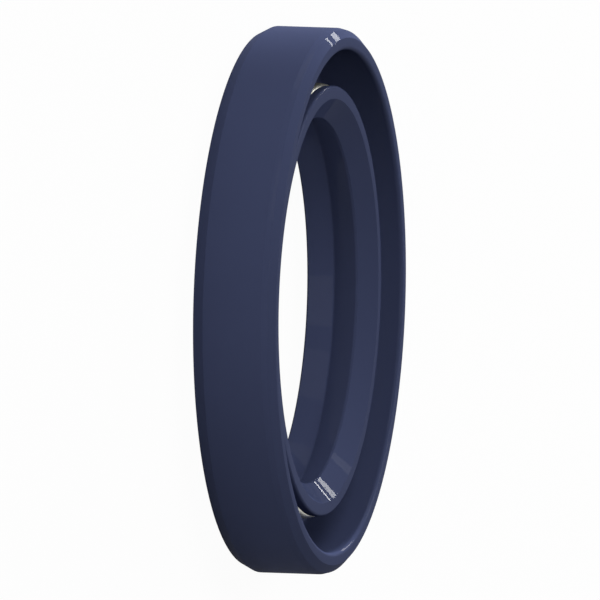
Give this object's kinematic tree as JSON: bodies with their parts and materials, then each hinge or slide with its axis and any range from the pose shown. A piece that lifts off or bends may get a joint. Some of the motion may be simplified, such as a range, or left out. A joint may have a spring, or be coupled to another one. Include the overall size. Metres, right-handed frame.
{
  "type": "double lip oil seal",
  "caption": "Rubber-covered rotary shaft seal with a spring-loaded sealing lip and a dust lip; pressed into a housing bore, it seals oil round a turning shaft.",
  "frame": {"origin": "centre of the back (air side) face, on the shaft axis", "axes": "+Z along the shaft axis, from the air side towards the oil side with the spring; the seal lies on its back face"},
  "size_m": [0.0452, 0.0452, 0.007],
  "materials": {
    "seal_rubber": "satin",
    "ring_steel": "satin",
    "spring_wire": "bright drawn wire"
  },
  "bodies": {
    "root": {"rubber_body": "seal_rubber", "stiffening_ring": "ring_steel", "garter_spring": "spring_wire"}
  },
  "joints": []
}
